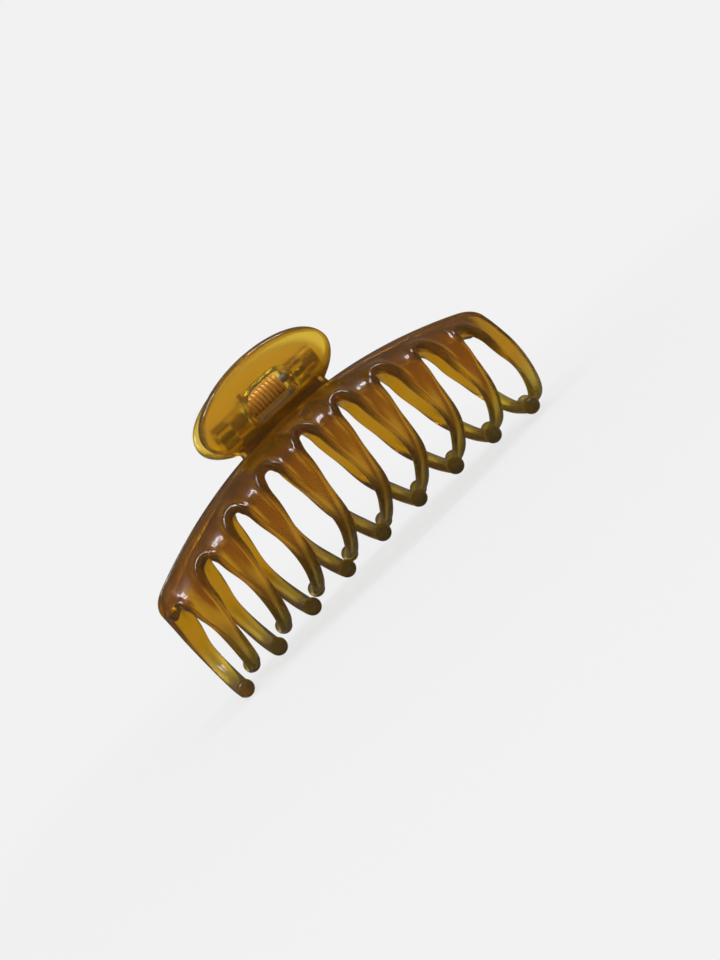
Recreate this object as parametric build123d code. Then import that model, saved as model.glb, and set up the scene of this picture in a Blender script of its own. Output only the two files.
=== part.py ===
from build123d import *
import os
from math import cos, hypot, pi, radians, sin, sqrt, tan

os.makedirs("parts", exist_ok=True)

# A hair claw, closed, standing on the tips of its tines. X runs along the claw, the
# front jaw is on -Y, +Z is up and the finger plates are at the top. The origin is on
# the ground, at the middle of the claw. Both jaws are one moulding, and the rear one is
# the front one turned half a turn about Z, which sets its tines between the front ones.

# tines
tine_count = 9
tine_pitch = 12.3
tine_width = 4.8
ball_radius = 2.2
ball_height = 2.2           # centre of the ball ends of the outermost tines
ball_reach = 0.6            # ball's centre beyond the end of the tine that carries it

# the moulding's outer face in a cross-section, as (distance in front of the middle plane,
# height above the outermost ball ends), at the middle of the claw and at its two ends
edge_mid, edge_end = (5.0, 40.4), (3.2, 28.1)              # top edge of the spine
shoulder_mid, shoulder_end = (17.5, 36.1), (7.0, 23.1)     # tops of the slots
belly_mid, belly_end = (20.5, 15.6), (9.8, 12.7)           # widest point of the tines
heel_mid, heel_end = (2.6, 5.6), (3.7, 1.3)                # where a tine turns under
tip_mid, tip_end = (-9.5, 3.9), (-10.1, 0.0)               # centre of a ball end
wall = 3.0
tip_wall = 3.2
spine_corner = 4.0
section_steps = 4           # spans of the loft along the claw

# finger plate, an oval cut off straight at the crease where it leaves the spine
plate_half_width = 20.2
plate_half_height = 10.8
plate_centre_rise = 8.2     # from the crease to the oval's centre, along the plate
plate_thickness = 3.2
plate_tilt = 29.5           # degrees from upright
plate_rim = 0.8             # rounding of the plate's outer rim
crease_out = 4.2            # crease in front of the middle plane
crease_height = 42.2
root_depth = 2.6            # block under the crease that joins plate and spine
root_half_width = 15.4
root_gap = 0.5              # from the middle plane to each jaw's root
root_drop = 3.7             # from the pin's line down to the root's inner edge
cove_rise = 1.85            # from the crease up to where the plate's flat outer face starts
cove_angle = 55.0           # degrees below level of the slope from there down to the spine
cove_length = 3.0           # of that slope, down to its hidden end inside the spine's wall

# window in the plate over the spring, with heights up the plate from the crease
window_width = 13.0
window_sill = 3.8
window_top = 11.8
window_shoulder = 4.2       # rounding of its upper corners
window_foot = 1.6           # rounding of its lower corners

# hinge
pin_height = 49.6
pin_diameter = 2.0
pin_clearance = 0.05        # on the radius, in every knuckle
pin_proud = 0.5             # pin beyond each outer knuckle
pin_chamfer = 0.3
knuckle_radius = 3.1
knuckle_width = 4.2
knuckle_gap = 0.4           # between knuckles along the pin
knuckle_margin = 0.8        # from the window's side to the inner knuckle

# torsion spring
wire_diameter = 1.1
coil_outer = 6.0
coil_turns = 9              # whole turns, plus the part turn between the two legs
coil_gap = 0.04             # between one turn and the next
leg_length = 8.0
leg_clearance = 0.05        # from a leg's end to the plate that it bears on

half_length = (tine_count - 1) / 2 * tine_pitch + tine_pitch / 4 + tine_width / 2
slot_width = tine_pitch - tine_width
tilt = radians(plate_tilt)
ground = ball_height
through = 4 * shoulder_mid[0]    # a length that passes right through the claw


def tine_places():
    """Centres of the front jaw's tines along X; the last one is flush with the end."""
    first = -(tine_count - 1) / 2 * tine_pitch + tine_pitch / 4
    return [first + number * tine_pitch for number in range(tine_count)]


def at(x, mid, end):
    """A section point at x, bowed from its place at mid length to its place at the ends."""
    share = (x / half_length) ** 2
    return tuple(m + (e - m) * share for m, e in zip(mid, end))


def outer_points(x):
    """The outer face's points at x, as (y, z) for the front jaw, with the ball centre last."""
    rows = (
        (edge_mid, edge_end),
        (shoulder_mid, shoulder_end),
        (belly_mid, belly_end),
        (heel_mid, heel_end),
        (tip_mid, tip_end),
    )
    return [(-out, up + ground) for out, up in (at(x, mid, end) for mid, end in rows)]


def inward(points, index):
    """Unit direction from the outer face into the moulding at one of the points."""
    before = points[max(index - 1, 0)]
    after = points[min(index + 1, len(points) - 1)]
    along = (after[0] - before[0], after[1] - before[1])
    size = hypot(*along)
    return (-along[1] / size, along[0] / size)


def jaw_section(x):
    """The moulding's cross-section at x: a hooked strip, thickest where it carries the ball."""
    points = outer_points(x)
    outer, inner = [], []
    for index, (y, z) in enumerate(points):
        ny, nz = inward(points, index)
        at_tip = index == len(points) - 1
        out = tip_wall / 2 if at_tip else 0
        deep = tip_wall / 2 if at_tip else wall
        outer.append((x, y - ny * out, z - nz * out))
        inner.append((x, y + ny * deep, z + nz * deep))
    edges = [
        Spline(*outer),
        Line(outer[-1], inner[-1]),
        Spline(*reversed(inner)),
        Line(inner[0], outer[0]),
    ]
    return Face(Wire(edges))


def jaw_shell():
    """The bowed shell before its slots are cut, from end to end."""
    sections = [
        jaw_section(half_length * (2 * step / section_steps - 1))
        for step in range(section_steps + 1)
    ]
    return Solid.make_loft([section.outer_wire() for section in sections])


def slot(x):
    """Cutter for one slot, with a round arch at the height of the shoulder."""
    shoulder = outer_points(x)[1][1]
    arch = shoulder - slot_width / 2
    straight = Pos(x, 0, arch / 2 - ball_height) * Box(
        slot_width, through, arch + 2 * ball_height
    )
    return straight + Pos(x, 0, arch) * Rot(90, 0, 0) * Cylinder(slot_width / 2, through)


def ball_end(x):
    """Ball on the end of the tine at x, with its poles along the tine."""
    y, z = outer_points(x)[-1]
    return Pos(x, y + ball_reach, z) * Rot(90, 0, 0) * Sphere(ball_radius)


def spine_corner_cut(side):
    """Cutter that rounds the corner between the spine's sloping top edge and its end."""
    top = outer_points(half_length)[0][1]
    slope = (outer_points(half_length - spine_corner)[0][1] - top) / spine_corner
    steep = sqrt(1 + slope ** 2)
    centre_x = half_length - spine_corner
    centre_z = top + slope * spine_corner - steep * spine_corner
    start_x = centre_x + spine_corner * slope / steep
    length = half_length - start_x
    block = Pos(start_x + length / 2, 0, centre_z + spine_corner) * Box(
        length, through, 2 * spine_corner
    )
    round_end = Pos(centre_x, 0, centre_z) * Rot(90, 0, 0) * Cylinder(spine_corner, through)
    cutter = block - round_end
    return cutter if side > 0 else mirror(cutter, about=Plane.YZ)


def plate_frame():
    """The finger plate's outer face: origin at the crease, y up the plate, z outwards."""
    return Plane(
        origin=(0, -crease_out, crease_height),
        x_dir=(1, 0, 0),
        z_dir=(0, -cos(tilt), -sin(tilt)),
    )


def plate_outline():
    """The oval, cut off straight at the crease."""
    with BuildSketch(plate_frame()) as outline:
        with Locations((0, plate_centre_rise)):
            Ellipse(plate_half_width, plate_half_height)
        with Locations((0, -plate_half_height)):
            Rectangle(2 * through, 2 * plate_half_height, mode=Mode.SUBTRACT)
    return outline.sketch


def finger_plate():
    """The oval plate, with its rim rounded on the outer face."""
    plate = extrude(plate_outline(), -plate_thickness)
    outer_face = plate.faces().sort_by(Axis((0, 0, 0), (0, -cos(tilt), -sin(tilt))))[-1]
    rim = outer_face.edges().sort_by(Axis.Z)[-1]
    return fillet(rim, plate_rim)


def window_cut():
    """Cutter for the window over the spring, with round shoulders and a sill below."""
    with BuildSketch(plate_frame()) as outline:
        with Locations((0, (window_sill + window_top) / 2)):
            Rectangle(window_width, window_top - window_sill)
        fillet(outline.vertices().sort_by(Axis.Y)[2:], window_shoulder)
        fillet(outline.vertices().sort_by(Axis.Y)[:2], window_foot)
    return extrude(outline.sketch, 2 * plate_thickness, both=True)


def plate_inner(height):
    """Y of the front plate's inner face at a height."""
    outer = -crease_out - (height - crease_height) * tan(tilt)
    return outer + plate_thickness / cos(tilt)


def hinge_root():
    """Block under the crease that joins the finger plate to the spine, with its cove."""
    spine_y, spine_z = outer_points(0)[0]
    buried = plate_thickness / 2
    plate_foot = (
        -crease_out + plate_thickness * cos(tilt) - buried * sin(tilt),
        crease_height + plate_thickness * sin(tilt) + buried * cos(tilt),
    )
    cove_top = (
        -crease_out - cove_rise * sin(tilt),
        crease_height + cove_rise * cos(tilt),
    )
    fall = (-cos(radians(cove_angle)), -sin(radians(cove_angle)))
    points = [
        (0, cove_top[0] - buried * fall[0], cove_top[1] - buried * fall[1]),
        (0, *plate_foot),
        (0, -root_gap, pin_height - root_drop),
        (0, -root_gap, crease_height - root_depth),
        (0, spine_y - wall, spine_z - wall),
        (0, cove_top[0] + cove_length * fall[0], cove_top[1] + cove_length * fall[1]),
    ]
    face = Face(Polyline(*points, close=True))
    return Pos(-root_half_width, 0, 0) * extrude(face, 2 * root_half_width, dir=(1, 0, 0))


def knuckle_spans():
    """The front jaw's two knuckles along X: the outer one on -X and the inner one on +X."""
    inner_start = window_width / 2 + knuckle_margin
    outer_start = inner_start + knuckle_width + knuckle_gap
    return [(-outer_start - knuckle_width, -outer_start),
            (inner_start, inner_start + knuckle_width)]


def knuckle(start, end):
    """A round knuckle on the pin's line, with the web that carries it on the plate."""
    barrel = Pos((start + end) / 2, 0, pin_height) * Rot(0, 90, 0) * Cylinder(
        knuckle_radius, end - start
    )
    web_top = pin_height + knuckle_radius * sin(tilt)
    buried = plate_thickness / 2
    points = [
        (start, -knuckle_radius * cos(tilt), web_top),
        (start, plate_inner(web_top) - buried, web_top),
        (start, plate_inner(crease_height) - buried, crease_height),
        (start, -root_gap, crease_height),
        (start, -root_gap, pin_height),
    ]
    web = extrude(Face(Polyline(*points, close=True)), end - start, dir=(1, 0, 0))
    return barrel + (web & extrude(plate_outline(), -through))


def pin_bore():
    """Cutter for the pin's hole, right through every knuckle."""
    radius = pin_diameter / 2 + pin_clearance
    return Pos(0, 0, pin_height) * Rot(0, 90, 0) * Cylinder(radius, through)


def front_jaw():
    """One whole jaw: spine, tines with ball ends, finger plate and knuckles."""
    jaw = Part() + jaw_shell()
    for x in tine_places():
        jaw -= slot(x - tine_pitch / 2)
    for side in (-1, 1):
        jaw -= spine_corner_cut(side)
    for x in tine_places():
        jaw += ball_end(x)
    jaw += finger_plate() + hinge_root() - window_cut()
    for start, end in knuckle_spans():
        jaw += knuckle(start, end)
    return jaw - pin_bore()


def hinge_pin():
    """The steel pin through all four knuckles."""
    outer_end = knuckle_spans()[0][0]
    length = 2 * (-outer_end + pin_proud)
    pin = Cylinder(pin_diameter / 2, length)
    pin = chamfer(pin.edges().filter_by(GeomType.CIRCLE), pin_chamfer)
    return Pos(0, 0, pin_height) * Rot(0, 90, 0) * pin


def torsion_spring():
    """Close-wound coil round the pin, with one leg against the inside of each plate."""
    mean_radius = (coil_outer - wire_diameter) / 2
    pitch = wire_diameter + coil_gap
    face_distance = (crease_out * cos(tilt) + (pin_height - crease_height) * sin(tilt)
                     - plate_thickness)
    bearing = face_distance - wire_diameter / 2 - leg_clearance
    splay = (bearing - mean_radius) / leg_length
    start_angle = pi + tilt + splay
    part_turn = (pi - 2 * tilt - 2 * splay) / (2 * pi)
    turns = coil_turns + part_turn
    length = pitch * turns
    frame = Plane(
        origin=(-length / 2, 0, pin_height),
        x_dir=(0, cos(start_angle), sin(start_angle)),
        z_dir=(1, 0, 0),
    )
    coil = frame.location * Helix(pitch, length, mean_radius)
    begin, finish = coil @ 0, coil @ 1
    first_leg = Line(begin - (coil % 0) * leg_length, begin)
    last_leg = Line(finish, finish + (coil % 1) * leg_length)
    path = Wire([first_leg, coil, last_leg])
    section = Plane(origin=path @ 0, z_dir=path % 0) * Circle(wire_diameter / 2)
    return sweep(section, path=path, is_frenet=True)


front = front_jaw()
nodes = {
    "front_jaw": front,
    "rear_jaw": Rot(0, 0, 180) * front,
    "hinge_pin": hinge_pin(),
    "torsion_spring": torsion_spring(),
}
for name, shape in nodes.items():
    export_step(shape, f"parts/{name}.step")
    print(name, "solids", len(shape.solids()), "volume", round(shape.volume, 1))
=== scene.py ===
import bpy
import bmesh
from math import cos, pi, radians, sin, sqrt, tan
from mathutils import Matrix, Vector
from mathutils.geometry import interpolate_bezier


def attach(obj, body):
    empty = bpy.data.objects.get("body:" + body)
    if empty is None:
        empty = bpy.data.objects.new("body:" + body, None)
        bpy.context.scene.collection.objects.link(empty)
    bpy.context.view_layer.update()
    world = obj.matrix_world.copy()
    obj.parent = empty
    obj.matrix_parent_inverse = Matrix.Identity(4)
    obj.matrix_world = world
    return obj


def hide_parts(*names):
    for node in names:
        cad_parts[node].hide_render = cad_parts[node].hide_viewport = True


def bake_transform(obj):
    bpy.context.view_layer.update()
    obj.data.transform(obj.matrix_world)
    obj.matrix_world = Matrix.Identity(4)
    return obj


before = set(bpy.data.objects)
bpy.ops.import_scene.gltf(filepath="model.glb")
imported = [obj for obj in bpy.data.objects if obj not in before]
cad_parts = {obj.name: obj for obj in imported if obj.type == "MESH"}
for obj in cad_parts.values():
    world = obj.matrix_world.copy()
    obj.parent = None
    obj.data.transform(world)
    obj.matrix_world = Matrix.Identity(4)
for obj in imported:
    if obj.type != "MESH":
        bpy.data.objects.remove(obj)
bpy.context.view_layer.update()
mm = 0.001
sliver = 0.003          # edges shorter than this are left-overs
halfTurn = Matrix.Rotation(pi, 4, "Z")  # puts the front jaw's shape in the rear jaw's place
print("frame loaded")


class Value:
    # wraps a socket, so that shader maths reads as sums

    def __init__(self, tree, socket):
        self.tree, self.socket = tree, socket

    def math(self, operation, first, second):
        return Recipe(self.tree).node("ShaderNodeMath", {"operation": operation}, first, second)

    def __add__(self, other):
        return self.math("ADD", self, other)

    def __radd__(self, other):
        return self.math("ADD", other, self)

    def __sub__(self, other):
        return self.math("SUBTRACT", self, other)

    def __rsub__(self, other):
        return self.math("SUBTRACT", other, self)

    def __mul__(self, other):
        return self.math("MULTIPLY", self, other)

    def __rmul__(self, other):
        return self.math("MULTIPLY", other, self)


class Recipe:
    # the nodes of one material or world

    def __init__(self, tree):
        self.tree = tree

    def feed(self, socket, value):
        if isinstance(value, Value):
            self.tree.links.new(value.socket, socket)
        elif socket.type == "RGBA" and len(value) == 3:
            socket.default_value = (*value, 1)
        else:
            socket.default_value = value

    def node(self, kind, settings, *values, out=0, **named):
        # any node: its type and settings, then what feeds its sockets, in order or by name
        made = self.tree.nodes.new(kind)
        for key, value in settings.items():
            setattr(made, key, value)
        for socket, value in zip(made.inputs, values):
            self.feed(socket, value)
        for key, value in named.items():
            self.feed(made.inputs[key], value)
        return Value(self.tree, made.outputs[out])

    def mix(self, share, first, second):
        # blends two colours
        mixed = self.tree.nodes.new("ShaderNodeMix")
        mixed.data_type = "RGBA"
        for socket, value in ((0, share), (6, first), (7, second)):
            self.feed(mixed.inputs[socket], value)
        return Value(self.tree, mixed.outputs[2])


def newMaterial(name):
    material = bpy.data.materials.new(name)
    material.use_nodes = True
    recipe = Recipe(material.node_tree)
    place = recipe.node("ShaderNodeTexCoord", {}, out=3)
    return material, recipe, material.node_tree.nodes["Principled BSDF"], place


amberLook = {
    "pale": (0.95, 0.72, 0.15),         # the finger plates
    "deep": (0.91, 0.66, 0.11),
    "shadedJawPale": (0.61, 0.335, 0.022),    # painted shade: a darker copy of the plate colour on the thick spine and tines
    "shadedJawDeep": (0.53, 0.265, 0.014),
    # painted light: a lighter copy of the colour on the ball ends
    "litTipTint": (0.86, 0.66, 0.14),
    "shadedJawBelow": (0.041, 0.0475),        # heights in metres where the painted-shade jaw colour gives way to the plate's
    # heights in metres below which the ball ends take the painted-light colour
    "litTipBelow": (0.005, 0.016),
    "through": (0.955, 0.905, 0.50),  # colour that a thickness of the plastic lets through
    "density": 500.0,
    "clear": 0.93,          # the rest scatters light, as slightly milky plastic does
    "ior": 1.49,
    "specular": 0.03,
    "haze": 0.21,           # blurs what lies behind, under a sharp gloss
    "gloss": 0.02,
    "glossIor": 1.38,
    "flowScale": 60.0,
    "fineScale": 900.0,
    "fineShare": 0.04,      # of roughness
    "ripple": 0.05,
    "rippleScale": 140.0,
    "rippleDepth": 0.0004,
}


def amberPlastic():
    look = amberLook
    material, recipe, shader, place = newMaterial("amberPlastic")
    flow = recipe.node("ShaderNodeTexNoise", {}, Vector=place, Scale=look["flowScale"],
                       Detail=3.0, Distortion=1.2)
    fine = recipe.node("ShaderNodeTexNoise", {}, Vector=place, Scale=look["fineScale"], Detail=2.0)
    wave = recipe.node("ShaderNodeTexNoise", {}, Vector=place, Scale=look["rippleScale"],
                       Detail=1.0)
    bump = recipe.node("ShaderNodeBump", {}, Strength=look["ripple"],
                       Distance=look["rippleDepth"], Height=wave)
    height = recipe.node("ShaderNodeSeparateXYZ", {}, place, out=2)
    # painted shade: below the jaw heights, the spine and tines take the darker jaw colours
    inShadedJaw, inLitTip = (recipe.node("ShaderNodeMapRange", {"interpolation_type": "SMOOTHSTEP"},
                                height, *look[band], 1.0, 0.0) for band in ("shadedJawBelow", "litTipBelow"))
    # painted light: near the bottom, the ball ends take a lighter colour
    tines = recipe.mix(inLitTip, recipe.mix(flow, look["shadedJawPale"], look["shadedJawDeep"]), look["litTipTint"])
    recipe.feed(shader.inputs["Base Color"],
                recipe.mix(inShadedJaw, recipe.mix(flow, look["pale"], look["deep"]), tines))
    recipe.feed(shader.inputs["Roughness"], look["haze"] + fine * look["fineShare"])
    recipe.feed(shader.inputs["Normal"], bump)
    shader.inputs["IOR"].default_value = look["ior"]
    shader.inputs["Specular IOR Level"].default_value = look["specular"]
    shader.inputs["Transmission Weight"].default_value = look["clear"]
    shader.inputs["Coat Weight"].default_value = 1.0
    shader.inputs["Coat Roughness"].default_value = look["gloss"]
    shader.inputs["Coat IOR"].default_value = look["glossIor"]
    depth = material.node_tree.nodes.new("ShaderNodeVolumeAbsorption")
    depth.inputs["Color"].default_value = (*look["through"], 1)
    depth.inputs["Density"].default_value = look["density"]
    material.node_tree.links.new(depth.outputs[0],
                                 material.node_tree.nodes["Material Output"].inputs["Volume"])
    return material


wireLook = {
    "streakScale": 2600.0,
    "streakDepth": 0.00005,
    "streakStrength": 0.1,
    "streakShare": 0.15,    # of roughness
    "metallic": 0.4,
}


def drawnWire(name, colour, dark, rough):
    look = wireLook
    material, recipe, shader, place = newMaterial(name)
    streak = recipe.node("ShaderNodeTexNoise", {}, Vector=place, Scale=look["streakScale"],
                         Detail=3.0)
    bump = recipe.node("ShaderNodeBump", {}, Strength=look["streakStrength"],
                       Distance=look["streakDepth"], Height=streak)
    recipe.feed(shader.inputs["Base Color"], recipe.mix(streak, colour, dark))
    recipe.feed(shader.inputs["Roughness"], rough + streak * look["streakShare"])
    recipe.feed(shader.inputs["Normal"], bump)
    shader.inputs["Metallic"].default_value = look["metallic"]
    return material


amber = amberPlastic()
copperWire = drawnWire("copperWire", (0.92, 0.50, 0.08), (0.80, 0.36, 0.04), 0.26)
pinSteel = drawnWire("pinSteel", (0.42, 0.40, 0.37), (0.34, 0.32, 0.29), 0.25)
print("materials made")


def finish(mesh, name, material):
    # a bmesh in millimetres becomes an object in metres
    bmesh.ops.scale(mesh, vec=(mm, mm, mm), verts=mesh.verts)
    data = bpy.data.meshes.new(name)
    mesh.to_mesh(data)
    mesh.free()
    data.materials.append(material)
    piece = bpy.data.objects.new(name, data)
    bpy.context.collection.objects.link(piece)
    for face in data.polygons:
        face.use_smooth = True
    return piece


def settle(piece):
    # applies a piece's modifiers to its mesh
    shaped = piece.evaluated_get(bpy.context.evaluated_depsgraph_get())
    data = bpy.data.meshes.new_from_object(shaped)
    piece.modifiers.clear()
    piece.data = data
    return piece


def combine(piece, other, operation):
    # joins or cuts with another solid, which is used up
    step = piece.modifiers.new(operation, "BOOLEAN")
    step.operation, step.solver, step.object = operation, "MANIFOLD", other
    settle(piece)
    bpy.data.objects.remove(other)
    return piece


def dropSlivers(piece):
    # removes the edges of no length and faces of no area that the booleans leave
    mesh = bmesh.new()
    mesh.from_mesh(piece.data)
    bmesh.ops.dissolve_degenerate(mesh, dist=sliver * mm, edges=mesh.edges[:])
    mesh.to_mesh(piece.data)
    mesh.free()


def outwards(mesh):
    bmesh.ops.remove_doubles(mesh, verts=mesh.verts, dist=0.001)
    bmesh.ops.recalc_face_normals(mesh, faces=mesh.faces)


jaw = {
    "tineCount": 9,
    "tinePitch": 12.3,
    "tineWidth": 4.8,
    "wall": 3.0,
    # outer face in a cross-section, (out from the middle plane, height), mid length then ends
    "section": (
        ((5.0, 42.6), (3.2, 30.3)),      # top edge of the spine
        ((17.5, 38.3), (7.0, 25.3)),     # tops of the slots
        ((20.5, 17.8), (9.8, 14.9)),     # widest point of the tines
        ((2.6, 7.8), (3.7, 3.5)),        # where a tine turns under
        ((-9.5, 4.2), (-10.1, -0.05)),   # under a ball end
    ),
    "corner": 4.0,          # rounding of the spine's end corners
    "edge": 0.5,            # crispness of the spine's top edge
    "lipWidth": 2.7,        # raised lip round each slot's arch
    "lipRise": 1.4,
    "lipFade": (1, 0.75, 0.45, 0.2),    # of the rise, row by row down the tine
    "archAngles": (180, 150, 120, 90, 60, 30),
    "endMargin": 0.8,
    "tineColumns": (-0.5, -0.3, 0, 0.3),
    "tineRows": 14,
    "edgeRow": 4,           # row of the slots' edges
    "roundRows": 9,         # rows over which a tine comes to its round section
    "roundness": 0.96,
    "crown": 0.3,           # share of the wall that a tine's edges drop below its middle
    "edgeWall": 0.5,        # a tine's thickness at its edges, of the wall's
    "rootSpread": 1.06,     # a tine's width at its root, of the tine's width
    "taper": 0.12,
    "ballRadius": 2.2,
    "ballRise": 1.9,
    "smooth": 2,
}
jaw["halfLength"] = ((jaw["tineCount"] - 1) / 2 * jaw["tinePitch"] + jaw["tinePitch"] / 4
                     + jaw["tineWidth"] / 2)
jaw["slotRadius"] = (jaw["tinePitch"] - jaw["tineWidth"]) / 2


def tinePlaces():
    first = -(jaw["tineCount"] - 1) / 2 * jaw["tinePitch"] + jaw["tinePitch"] / 4
    return [first + number * jaw["tinePitch"] for number in range(jaw["tineCount"])]


def slotPlaces():
    return [x - jaw["tinePitch"] / 2 for x in tinePlaces()]


def sectionLine(x):
    # the outer face's line at x, from the spine's top edge to the tip of a tine
    share = (x / jaw["halfLength"]) ** 2
    knots = [Vector((x, -(m[0] + (e[0] - m[0]) * share), m[1] + (e[1] - m[1]) * share))
             for m, e in jaw["section"]]
    spans = [(b - a).length for a, b in zip(knots, knots[1:])]
    chords = [(b - a) / span for a, b, span in zip(knots, knots[1:], spans)]
    slopes = [(a * q + b * p) / (p + q)
              for a, b, p, q in zip(chords, chords[1:], spans, spans[1:])]
    slopes.insert(0, (3 * chords[0] - slopes[0]) / 2)
    slopes.append((3 * chords[-1] - slopes[-1]) / 2)
    line = []
    for i, span in enumerate(spans):
        line += interpolate_bezier(knots[i], knots[i] + slopes[i] * span / 3,
                                   knots[i + 1] - slopes[i + 1] * span / 3, knots[i + 1], 20)[:-1]
    return line + [knots[-1]]


def lineLength(line):
    return sum((b - a).length for a, b in zip(line, line[1:]))


def along(line, distance):
    # the point and the outward direction at a distance along a line
    for a, b in zip(line, line[1:]):
        step = (b - a).length
        if distance <= step or b is line[-1]:
            way = (b - a) / step
            return a + way * distance, Vector((0, way.z, -way.y))
        distance -= step


def distanceDown(line, height):
    # how far along a line it first comes down to a height
    distance = 0
    for a, b in zip(line, line[1:]):
        if b.z <= height and a.z > b.z:
            return distance + (b - a).length * max(0, (a.z - height) / (a.z - b.z))
        distance += (b - a).length
    return distance


def shoulderHeight(x):
    mid, end = jaw["section"][1]
    return mid[1] + (end[1] - mid[1]) * (x / jaw["halfLength"]) ** 2


def archHeight(x):
    # height of the slots' round tops at x, and of their springing across the tines
    radius = jaw["slotRadius"]
    reach = min(abs(x - centre) for centre in slotPlaces())
    rise = sqrt(max(0, radius ** 2 - reach ** 2))
    return shoulderHeight(x) - radius + rise


def columnPlaces():
    # X of the grid's columns, and for each gap between two of them whether it is a slot
    radius = jaw["slotRadius"]
    inSlot = [cos(radians(angle)) * radius for angle in jaw["archAngles"]]
    places, isOpen = [], []
    for number, x in enumerate(tinePlaces()):
        centre = x - jaw["tinePitch"] / 2
        for offset in inSlot:
            place = centre + offset
            if number == 0 and place < -jaw["halfLength"] + jaw["endMargin"]:
                continue
            places.append(place)
            isOpen.append(True)
        for offset in jaw["tineColumns"]:
            places.append(x + offset * jaw["tineWidth"])
            isOpen.append(False)
    places.insert(0, -jaw["halfLength"])
    isOpen.insert(0, True)
    places.append(jaw["halfLength"])
    return places, isOpen


def jawRows(line, x):
    # distances along the line of the grid's rows: top edge, lip, slot edge, then the tine
    inset = max(0, jaw["corner"] - (jaw["halfLength"] - abs(x)))
    start = jaw["corner"] - sqrt(max(0, jaw["corner"] ** 2 - inset ** 2))
    slotEdge = distanceDown(line, archHeight(x))
    lip = slotEdge - jaw["lipWidth"]
    rows = [start, start + jaw["edge"], start + (lip - start) * 0.5, lip, slotEdge]
    length = lineLength(line)
    steps = jaw["tineRows"]
    return rows + [slotEdge + (length - slotEdge) * step / steps for step in range(1, steps + 1)]


def shellMesh():
    # the spine and its tines as one sheet, which then gets its wall
    places, isOpen = columnPlaces()
    edgeRow, roundness = jaw["edgeRow"], jaw["roundness"]
    rowCount = edgeRow + 1 + jaw["tineRows"]
    mesh = bmesh.new()
    bmesh.ops.create_grid(mesh, x_segments=len(places) - 1, y_segments=rowCount - 1, size=1)
    thickness = mesh.verts.layers.deform.verify()
    spots = {}
    for vert in mesh.verts:
        column = round((vert.co.x + 1) / 2 * (len(places) - 1))
        row = round((1 - vert.co.y) / 2 * (rowCount - 1))
        spots[vert] = (column, row)
    lines = [sectionLine(x) for x in places]
    rows = [jawRows(line, x) for line, x in zip(lines, places)]
    tines = tinePlaces()
    gone = [face for face in mesh.faces
            if isOpen[min(spots[v][0] for v in face.verts)]
            and min(spots[v][1] for v in face.verts) >= edgeRow]
    for vert, (column, row) in spots.items():
        x = places[column]
        point, out = along(lines[column], rows[column][row])
        nearSlot = min(abs(x - c) for c in slotPlaces()) <= jaw["slotRadius"] + 0.01
        if nearSlot and 0 <= row - edgeRow < len(jaw["lipFade"]):
            point += out * jaw["lipRise"] * jaw["lipFade"][row - edgeRow]
        centre = min(tines, key=lambda t: abs(t - x))
        aside = min(1, abs(centre - x) / (jaw["tineWidth"] / 2))
        bend = (1 - sqrt(1 - aside ** 2 * roundness)) / (1 - sqrt(1 - roundness))
        fall = min(1, max(0, (row - edgeRow) / jaw["roundRows"])) * bend
        if row > edgeRow and abs(centre - x) < jaw["tineWidth"]:
            share = (row - edgeRow) / jaw["tineRows"]
            point.x = centre + (x - centre) * (jaw["rootSpread"] - jaw["taper"] * share)
            point -= out * jaw["wall"] * jaw["crown"] * fall
        vert.co = point
        vert[thickness][0] = 1 - (1 - jaw["edgeWall"]) * fall
    bmesh.ops.delete(mesh, geom=gone, context="FACES")
    bmesh.ops.recalc_face_normals(mesh, faces=mesh.faces)
    if sum((f.normal.y * f.calc_area() for f in mesh.faces)) > 0:
        bmesh.ops.reverse_faces(mesh, faces=mesh.faces)
    return mesh


def shell():
    piece = finish(shellMesh(), "shell", amber)
    piece.vertex_groups.new(name="thickness")
    wall = piece.modifiers.new("wall", "SOLIDIFY")
    wall.vertex_group = "thickness"
    wall.thickness, wall.offset, wall.use_even_offset = jaw["wall"] * mm, -1, False
    smooth = piece.modifiers.new("smooth", "SUBSURF")
    smooth.levels = smooth.render_levels = jaw["smooth"]
    return settle(piece)


def balls():
    mesh = bmesh.new()
    for x in tinePlaces():
        tip = sectionLine(x)[-1]
        made = bmesh.ops.create_uvsphere(mesh, u_segments=28, v_segments=14,
                                         radius=jaw["ballRadius"])["verts"]
        bmesh.ops.translate(mesh, vec=tip + Vector((0, 0, jaw["ballRise"])), verts=made)
    return finish(mesh, "balls", amber)


plate = {
    "halfWidth": 20.2,
    "halfHeight": 10.8,
    "rise": 8.2,            # crease to the oval's centre
    "thickness": 3.2,
    "tilt": 29.5,
    "creaseOut": 4.2,
    "creaseHeight": 42.2,
    "rim": 1.2,
    "windowWidth": 13.0,
    "windowSill": 3.8,
    "windowTop": 11.8,
    "windowShoulder": 4.2,
    "windowFoot": 1.6,
    "lip": 0.5,             # rounding of the window's outer edge
    "beadWidth": 1.2,       # raised bead round the window
    "beadRise": 0.85,
    "rootDepth": 2.6,
    "rootHalfWidth": 13.3,
    "rootInnerHalfWidth": 12.5,
    "rootGap": 0.5,
    "rootTop": 45.9,        # height of the root's inner edge, under the coil
    "coveRise": 1.85,
    "coveAngle": 55.0,
    "coveLength": 3.0,
}


def plateSpot():
    # from plate coordinates, y up the plate and z outwards, to the front plate's place
    turn = Matrix.Rotation(radians(90 + plate["tilt"]), 4, "X")
    return Matrix.Translation((0, -plate["creaseOut"] * mm, plate["creaseHeight"] * mm)) @ turn


def deepen(mesh, depth):
    # turns a flat outline into a solid, downwards in Z
    made = bmesh.ops.extrude_face_region(mesh, geom=mesh.faces[:])["geom"]
    back = [item for item in made if isinstance(item, bmesh.types.BMVert)]
    bmesh.ops.translate(mesh, vec=(0, 0, -depth), verts=back)
    outwards(mesh)


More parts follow.
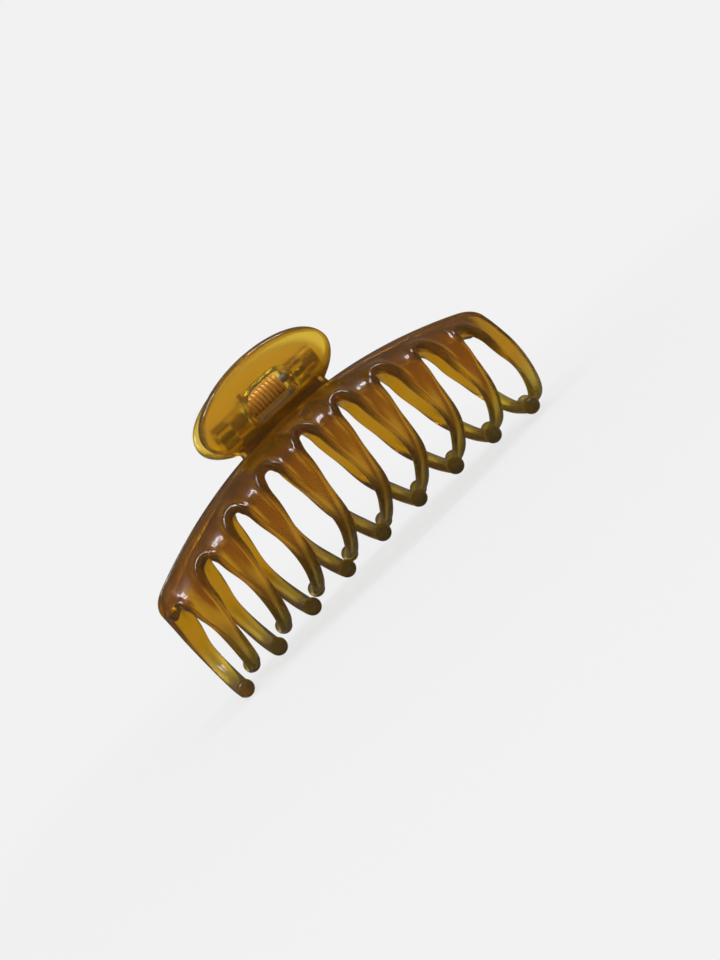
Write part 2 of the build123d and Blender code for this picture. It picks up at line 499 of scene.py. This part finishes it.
def plateMesh():
    mesh = bmesh.new()
    bmesh.ops.create_circle(mesh, cap_ends=True, segments=128, radius=1)
    bmesh.ops.scale(mesh, vec=(plate["halfWidth"], plate["halfHeight"], 1), verts=mesh.verts)
    bmesh.ops.translate(mesh, vec=(0, plate["rise"], 0), verts=mesh.verts)
    everything = mesh.verts[:] + mesh.edges[:] + mesh.faces[:]
    bmesh.ops.bisect_plane(mesh, geom=everything, plane_co=(0, 0, 0), plane_no=(0, -1, 0),
                           clear_outer=True)
    deepen(mesh, plate["thickness"])
    rim = [edge for edge in mesh.edges
           if edge.calc_face_angle(0) > 1 and max(v.co.y for v in edge.verts) > 0.5]
    bmesh.ops.bevel(mesh, geom=rim, offset=plate["rim"], segments=5, profile=0.5,
                    affect="EDGES", material=-1)
    return mesh


def windowOutline(grown):
    # the window's flat outline in plate coordinates, grown by a margin all round
    mesh = bmesh.new()
    height = plate["windowTop"] - plate["windowSill"]
    bmesh.ops.create_grid(mesh, x_segments=1, y_segments=1, size=0.5)
    bmesh.ops.scale(mesh, vec=(plate["windowWidth"] + 2 * grown, height + 2 * grown, 1),
                    verts=mesh.verts)
    for side, radius in ((1, plate["windowShoulder"]), (-1, plate["windowFoot"])):
        corners = [v for v in mesh.verts if v.co.y * side > height / 2 + grown - 0.01]
        bmesh.ops.bevel(mesh, geom=corners, offset=radius + grown, offset_type="ABSOLUTE",
                        segments=12, profile=0.5, affect="VERTICES", material=-1)
    bmesh.ops.translate(mesh, verts=mesh.verts, vec=(0, plate["windowSill"] + height / 2, 0))
    return mesh


def windowCutter():
    mesh = windowOutline(0)
    bmesh.ops.translate(mesh, vec=(0, 0, plate["thickness"]), verts=mesh.verts)
    deepen(mesh, 3 * plate["thickness"])
    return finish(mesh, "windowCutter", amber)


def windowBead():
    mesh = windowOutline(plate["beadWidth"])
    bmesh.ops.translate(mesh, vec=(0, 0, plate["beadRise"]), verts=mesh.verts)
    deepen(mesh, plate["beadRise"] + plate["thickness"] / 2)
    edges = [e for e in mesh.edges if all(v.co.z > plate["beadRise"] - 0.01 for v in e.verts)]
    bmesh.ops.bevel(mesh, geom=edges, offset=plate["beadRise"] * 0.9, segments=3, profile=0.5,
                    affect="EDGES", material=-1)
    return finish(mesh, "windowBead", amber)


def softenWindow(piece):
    # rounds the window's outer edge into a lip
    mesh = bmesh.new()
    mesh.from_mesh(piece.data)
    reach = (plate["windowWidth"] / 2 + 0.1) * mm
    lip = [edge for edge in mesh.edges
           if all(abs(v.co.z - plate["beadRise"] * mm) < 0.01 * mm and abs(v.co.x) < reach
                  and v.co.y < (plate["windowTop"] + 0.1) * mm
                  and v.co.y > (plate["windowSill"] - 0.1) * mm for v in edge.verts)
           and edge.calc_face_angle(0) > 1]
    bmesh.ops.bevel(mesh, geom=lip, offset=plate["lip"] * mm, segments=4, profile=0.5,
                    affect="EDGES", material=-1)
    mesh.to_mesh(piece.data)
    mesh.free()


hinge = {
    "height": 49.6,
    "knuckleRadius": 3.1,
    "knuckleWidth": 4.2,
    "knuckleGap": 0.4,
    "start": 7.3,           # from the middle to the inner knuckle
    "bore": 1.05,
}


def blockMesh(outline, start, end):
    # a prism along X from (y, z) corners
    mesh = bmesh.new()
    corners = [mesh.verts.new((start, y, z)) for y, z in outline]
    face = mesh.faces.new(corners)
    made = bmesh.ops.extrude_face_region(mesh, geom=[face])["geom"]
    far = [item for item in made if isinstance(item, bmesh.types.BMVert)]
    bmesh.ops.translate(mesh, vec=(end - start, 0, 0), verts=far)
    outwards(mesh)
    return mesh


def rodMesh(start, end, radius, segments=48):
    mesh = bmesh.new()
    bmesh.ops.create_cone(mesh, cap_ends=True, segments=segments, radius1=radius, radius2=radius,
                          depth=end - start)
    turn = Matrix.Rotation(pi / 2, 4, "Y")
    spot = Matrix.Translation(((start + end) / 2, 0, hinge["height"]))
    bmesh.ops.transform(mesh, matrix=spot @ turn, verts=mesh.verts)
    return mesh


def plateInner(height):
    slope = tan(radians(plate["tilt"]))
    outer = -plate["creaseOut"] - (height - plate["creaseHeight"]) * slope
    return outer + plate["thickness"] / cos(radians(plate["tilt"]))


def rootBlock():
    # joins plate and spine, with a small cove in front of the plate's foot
    tilt, coveAngle = radians(plate["tilt"]), radians(plate["coveAngle"])
    depth, crease = plate["thickness"], (-plate["creaseOut"], plate["creaseHeight"])
    spineOut, spineHeight = jaw["section"][0][0]
    foot = (crease[0] + depth * cos(tilt) - depth / 2 * sin(tilt),
            crease[1] + depth * sin(tilt) + depth / 2 * cos(tilt))
    cove = (crease[0] - plate["coveRise"] * sin(tilt), crease[1] + plate["coveRise"] * cos(tilt))
    coveTop = (cove[0] + depth / 2 * cos(coveAngle), cove[1] + depth / 2 * sin(coveAngle))
    coveFoot = (cove[0] - plate["coveLength"] * cos(coveAngle),
                cove[1] - plate["coveLength"] * sin(coveAngle))
    front = (coveTop, (crease[0] + depth * cos(tilt), crease[1] + depth * sin(tilt)),
             (crease[0], crease[1] - depth), coveFoot)
    back = (coveTop, foot, (-plate["rootGap"], plate["rootTop"]),
            (-plate["rootGap"], crease[1] - plate["rootDepth"]),
            (-spineOut - jaw["wall"], spineHeight - jaw["wall"] * 0.95), coveFoot)
    block = finish(blockMesh(front, -plate["rootHalfWidth"], plate["rootHalfWidth"]), "root", amber)
    inner = plate["rootInnerHalfWidth"]
    return combine(block, finish(blockMesh(back, -inner, inner), "rootBack", amber), "UNION")


def knuckleSpans():
    outer = hinge["start"] + hinge["knuckleWidth"] + hinge["knuckleGap"]
    return ((-outer - hinge["knuckleWidth"], -outer),
            (hinge["start"], hinge["start"] + hinge["knuckleWidth"]))


def web(start, end):
    # carries a knuckle on the plate, cut to the plate's outline
    tilt = radians(plate["tilt"])
    top = hinge["height"] + hinge["knuckleRadius"] * sin(tilt)
    crease = plate["creaseHeight"]
    buried = plate["thickness"] / 2
    foot = crease + buried
    outline = ((-hinge["knuckleRadius"] * cos(tilt), top), (plateInner(top) - buried, top),
               (plateInner(foot) - buried, foot), (-plate["rootGap"], foot + buried),
               (-plate["rootGap"], hinge["height"]))
    return finish(blockMesh(outline, start, end), "web", amber)


def fingerPlate():
    handle = finish(plateMesh(), "plate", amber)
    combine(handle, windowBead(), "UNION")
    combine(handle, windowCutter(), "DIFFERENCE")
    softenWindow(handle)
    handle.data.transform(plateSpot())
    combine(handle, rootBlock(), "UNION")
    for start, end in knuckleSpans():
        combine(handle, finish(rodMesh(start, end, hinge["knuckleRadius"]), "barrel", amber),
                "UNION")
        combine(handle, web(start, end), "UNION")
    reach = knuckleSpans()[0][0] * 1.5
    return combine(handle, finish(rodMesh(reach, -reach, hinge["bore"], 32), "bore", amber),
                   "DIFFERENCE")


def makeJaw(name, body, turned):
    piece = shell()
    combine(piece, balls(), "UNION")
    combine(piece, fingerPlate(), "UNION")
    dropSlivers(piece)
    if turned:
        piece.data.transform(halfTurn)
    piece.name = piece.data.name = name
    piece.data.shade_smooth()
    piece.data.set_sharp_from_angle(angle=radians(38))
    even = piece.modifiers.new("even", "WEIGHTED_NORMAL")  # keeps flat faces looking flat
    even.keep_sharp = True
    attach(piece, body)
    return piece


frontJaw = makeJaw("frontJawMoulding", "front", False)
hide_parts("front_jaw")
rearJaw = makeJaw("rearJawMoulding", "rear", True)
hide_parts("rear_jaw")
print("jaws made", len(frontJaw.data.polygons))


spring = {
    "wire": 1.1,
    "outer": 6.0,
    "turns": 9,
    "gap": 0.04,
    "legLength": 8.0,
    "legClearance": 0.05,
    "wireSides": 14,
    "stepsPerTurn": 28,
}


def springMesh():
    tilt = radians(plate["tilt"])
    radius = (spring["outer"] - spring["wire"]) / 2
    pitch = spring["wire"] + spring["gap"]
    face = (plate["creaseOut"] * cos(tilt)
            + (hinge["height"] - plate["creaseHeight"]) * sin(tilt) - plate["thickness"])
    splay = (face - spring["wire"] / 2 - spring["legClearance"] - radius) / spring["legLength"]
    startAngle = pi + tilt + splay
    turns = spring["turns"] + (pi - 2 * tilt - 2 * splay) / (2 * pi)
    length = pitch * turns
    mesh = bmesh.new()
    made = bmesh.ops.create_circle(mesh, segments=spring["wireSides"],
                                   radius=spring["wire"] / 2)["verts"]
    # the wire's section stands across the coil at its first point, then winds round the pin
    bmesh.ops.translate(mesh, vec=(-length / 2, radius, 0), verts=made)
    firstRing = mesh.edges[:]
    bmesh.ops.rotate(mesh, verts=mesh.verts, cent=(0, 0, 0),
                     matrix=Matrix.Rotation(startAngle, 3, "X"))
    steps = round(turns * spring["stepsPerTurn"])
    spun = bmesh.ops.spin(mesh, geom=firstRing, cent=(0, 0, 0), axis=(1, 0, 0),
                          dvec=(length / steps, 0, 0), angle=2 * pi * turns, steps=steps)
    lastRing = [item for item in spun["geom_last"] if isinstance(item, bmesh.types.BMEdge)]
    endAngle = startAngle + 2 * pi * turns
    for ring, angle, way in ((firstRing, startAngle, -1), (lastRing, endAngle, 1)):
        tangent = Vector((pitch / (2 * pi * radius), -sin(angle), cos(angle))).normalized() * way
        grown = bmesh.ops.extrude_edge_only(mesh, edges=ring)["geom"]
        tips = [item for item in grown if isinstance(item, bmesh.types.BMVert)]
        bmesh.ops.translate(mesh, vec=tangent * spring["legLength"], verts=tips)
        tipEdges = [item for item in grown if isinstance(item, bmesh.types.BMEdge)
                    and all(v in tips for v in item.verts)]
        bmesh.ops.contextual_create(mesh, geom=tipEdges)
    bmesh.ops.translate(mesh, vec=(0, 0, hinge["height"]), verts=mesh.verts)
    outwards(mesh)
    return mesh, length


springShape, coilLength = springMesh()
springPiece = finish(springShape, "closingSpring", copperWire)
springPiece.data.set_sharp_from_angle(angle=radians(50))
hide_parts("torsion_spring")
-coilLength / 2 * mm
coilLength / 2 * mm
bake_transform(springPiece)
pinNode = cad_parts["hinge_pin"]
pinNode.data.materials.clear()
pinNode.data.materials.append(pinSteel)
print("spring and pin made")


camera = {
    "azimuth": 11.9,
    "elevation": 3.9,
    "roll": -42.8,
    "distance": 343.0,
    "aimHeight": 24.6,
    "shiftRight": 6.8,
    "shiftUp": -2.2,
    "lens": 52.1,
}


def viewAxes():
    az, el, roll = (radians(camera[key]) for key in ("azimuth", "elevation", "roll"))
    back = Vector((-sin(az) * cos(el), -cos(az) * cos(el), sin(el)))
    right = (-back).cross(Vector((0, 0, 1))).normalized()
    up = right.cross(-back)
    return (cos(roll) * right + sin(roll) * up, -sin(roll) * right + cos(roll) * up, back)


def addCamera():
    right, up, back = viewAxes()
    place = (back * camera["distance"] + Vector((0, 0, camera["aimHeight"]))
             + right * camera["shiftRight"] + up * camera["shiftUp"]) * mm
    data = bpy.data.cameras.new("camera")
    data.lens = camera["lens"]
    data.clip_start = 0.01
    view = bpy.data.objects.new("camera", data)
    turn = Matrix((right, up, back)).transposed().to_4x4()
    view.matrix_world = Matrix.Translation(place) @ turn
    bpy.context.collection.objects.link(view)
    bpy.context.scene.camera = view


stage = {
    "background": 0.885,
    "floorColour": 0.86,
    "floorRadius": 900.0,
    "shadowShare": 0.16,    # of the lit floor that shows near the claw
    "fadeStart": 0.07,
    "fadeEnd": 0.22,
    "softLight": 0.55,
    "sheen": (0.07, 0.06, 0.07),
    "sheenAbove": (0.07, 0.06, 0.07),
    "behind": (0.88, 0.88, 0.87),
    "behindAbove": (0.05, 0.045, 0.04),
    "floorMirrored": 0.15,  # how much of the floor's colour the gloss shows
    "floorThrough": 0.40,   # and the clear plastic
    "floorDrop": 0.1,
    "climb": (0.08, 0.45),  # rise of a direction over which the world turns to its upper colour
}


def floorMaterial():
    material, recipe, shader, place = newMaterial("paleFloor")
    material.node_tree.nodes.remove(shader)
    seen = recipe.node("ShaderNodeLightPath", {})
    through = recipe.node("ShaderNodeLightPath", {}, out=6)
    reach = recipe.node("ShaderNodeVectorMath", {"operation": "LENGTH"}, place, out=1)
    fade = recipe.node("ShaderNodeMapRange", {"interpolation_type": "SMOOTHSTEP"}, reach,
                       stage["fadeStart"], stage["fadeEnd"], 0.0, 1.0)
    kept = stage["shadowShare"]
    share = seen * (fade * kept + (1 - kept)) + through * fade
    mirrored = recipe.node("ShaderNodeLightPath", {}, out=3)
    pale, inGloss, inPlastic = ((stage["floorColour"] * part,) * 3 for part in
                                (1, stage["floorMirrored"], stage["floorThrough"]))
    colour = recipe.mix(through, recipe.mix(mirrored, pale, inGloss), inPlastic)
    lit = recipe.node("ShaderNodeBsdfDiffuse", {}, Color=colour)
    plain = recipe.node("ShaderNodeEmission", {}, Color=(stage["background"],) * 3, Strength=1.0)
    mixed = recipe.node("ShaderNodeMixShader", {}, share, lit, plain)
    recipe.feed(material.node_tree.nodes["Material Output"].inputs["Surface"], mixed)
    return material


def addFloor():
    mesh = bmesh.new()
    bmesh.ops.create_circle(mesh, cap_ends=True, segments=96, radius=stage["floorRadius"])
    bmesh.ops.translate(mesh, vec=(0, 0, -stage["floorDrop"]), verts=mesh.verts)
    finish(mesh, "floor", floorMaterial())


def addWorld():
    # soft light from all round, darker overhead for what the gloss and the clear plastic show
    world = bpy.data.worlds.new("studio")
    world.use_nodes = True
    bpy.context.scene.world = world
    recipe = Recipe(world.node_tree)
    world.node_tree.nodes.clear()
    seen, glossy, through = (recipe.node("ShaderNodeLightPath", {}, out=out) for out in (0, 3, 6))
    direction = recipe.node("ShaderNodeTexCoord", {})
    height = recipe.node("ShaderNodeSeparateXYZ", {}, direction, out=2)
    climb = recipe.node("ShaderNodeMapRange", {"interpolation_type": "SMOOTHSTEP"}, height,
                        *stage["climb"], 0.0, 1.0)
    look = recipe.node("ShaderNodeBackground", {}, (1.0, 1.0, 1.0), stage["softLight"])
    for share, colour in (
            (glossy, recipe.mix(climb, stage["sheen"], stage["sheenAbove"])),
            (through, recipe.mix(climb, stage["behind"], stage["behindAbove"])),
            (seen, (stage["background"],) * 3)):
        other = recipe.node("ShaderNodeBackground", {}, colour, 1.0)
        look = recipe.node("ShaderNodeMixShader", {}, share, look, other)
    out = world.node_tree.nodes.new("ShaderNodeOutputWorld")
    recipe.feed(out.inputs["Surface"], look)


panes = {
    "groups": ((-170, -40, 360), (170, -10, 380)),   # middles of two overhead windows
    "aim": (0, 0, 25),
    "across": 2,
    "along": 3,
    "size": (34.0, 46.0),
    "gap": 12.0,
    "radiance": 13.0,
    "colour": (0.94, 0.92, 1.0),
}


def addPanes():
    # windows with glazing bars, each pane a small rectangular lamp
    width, depth = panes["size"]
    for group, middle in enumerate(panes["groups"]):
        facing = Vector(middle) - Vector(panes["aim"])
        turn = facing.to_track_quat("Z", "Y").to_matrix().to_4x4()
        for column in range(panes["across"]):
            for row in range(panes["along"]):
                data = bpy.data.lights.new(f"pane{group}{column}{row}", "AREA")
                data.shape, data.color = "RECTANGLE", panes["colour"]
                data.size, data.size_y = width * mm, depth * mm
                data.energy = panes["radiance"] * pi * data.size * data.size_y
                lamp = bpy.data.objects.new(data.name, data)
                shift = Vector(((column - (panes["across"] - 1) / 2) * (width + panes["gap"]),
                                (row - (panes["along"] - 1) / 2) * (depth + panes["gap"]), 0))
                lamp.matrix_world = (Matrix.Translation(Vector(middle) * mm) @ turn
                                     @ Matrix.Translation(shift * mm))
                bpy.context.collection.objects.link(lamp)


addCamera()
addFloor()
addWorld()
addPanes()
bpy.context.scene.view_settings.view_transform = "Standard"
bpy.context.scene.cycles.max_bounces = bpy.context.scene.cycles.transmission_bounces = 24
print("stage made")
